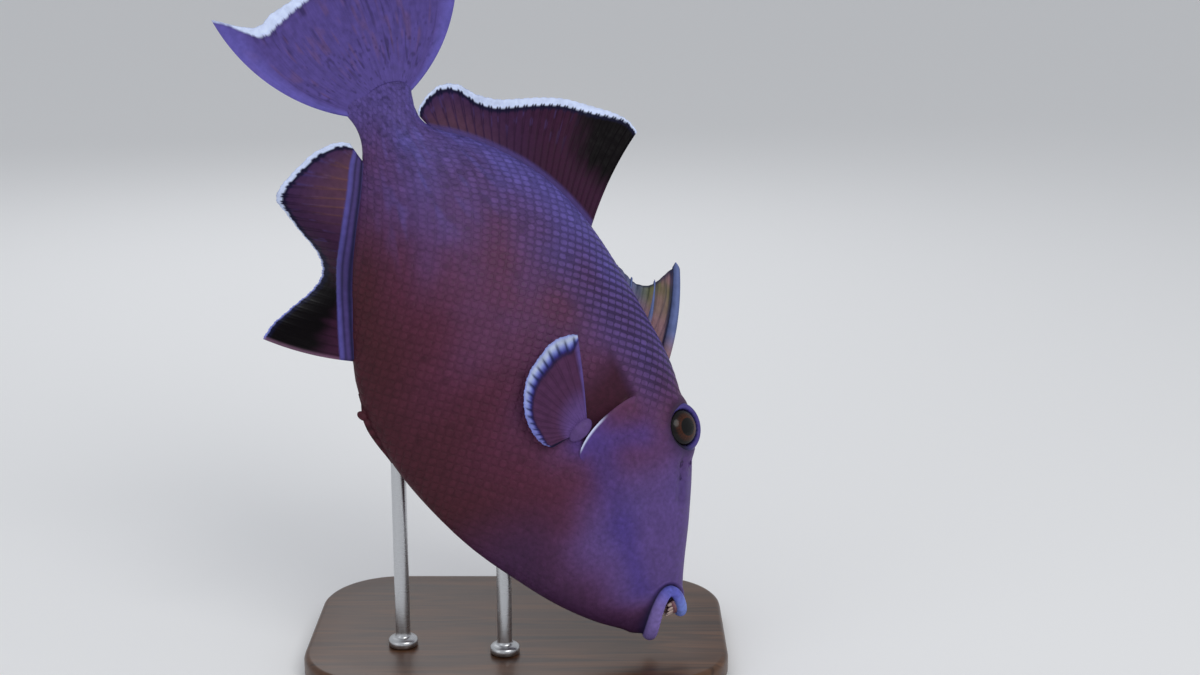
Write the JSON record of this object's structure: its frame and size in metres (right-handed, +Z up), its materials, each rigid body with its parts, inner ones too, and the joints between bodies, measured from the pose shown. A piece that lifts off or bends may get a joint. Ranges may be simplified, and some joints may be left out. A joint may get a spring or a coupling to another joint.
{
  "type": "blue triggerfish model on a stand",
  "caption": "Life-size blue triggerfish swimming nose down with fins spread, as a display model held over a flat base by upright rods.",
  "frame": {"origin": "middle of the stand's underside", "axes": "+Z up, the fish hanging nose down over the base with its right flank towards -Y; +X is the side of the base under the snout"},
  "size_m": [0.2666, 0.15, 0.3984],
  "materials": {
    "skin_head": "satin scaled skin, violet-brown",
    "skin_trunk": "satin scaled skin, maroon-violet",
    "skin_tail": "satin scaled skin, blue-violet",
    "lip_skin": "smooth moist skin, pale blue-violet",
    "teeth": "glossy enamel, pinkish beige",
    "eye": "glossy wet eye with an amber-brown iris",
    "spiny_fin": "satin membrane over stout spines",
    "fins": "satin ray-ribbed membrane, dark reddish brown",
    "tail_fin": "satin ray-ribbed membrane, blue-violet",
    "stand_wood": "satin dark stained wood",
    "stand_steel": "satin brushed steel"
  },
  "bodies": {
    "root": {"head": "skin_head", "trunk": "skin_trunk", "tail_peduncle": "skin_tail", "lips": "lip_skin", "teeth_upper": "teeth", "teeth_lower": "teeth", "eye_right": "eye", "eye_left": "eye", "spiny_dorsal_fin": "spiny_fin", "soft_dorsal_fin": "fins", "anal_fin": "fins", "tail_fin": "tail_fin", "pectoral_fin_right": "fins", "pectoral_fin_left": "fins", "pelvic_flap": "skin_trunk", "stand_base": "stand_wood", "stand_rod_front": "stand_steel", "stand_rod_rear": "stand_steel"}
  },
  "joints": []
}
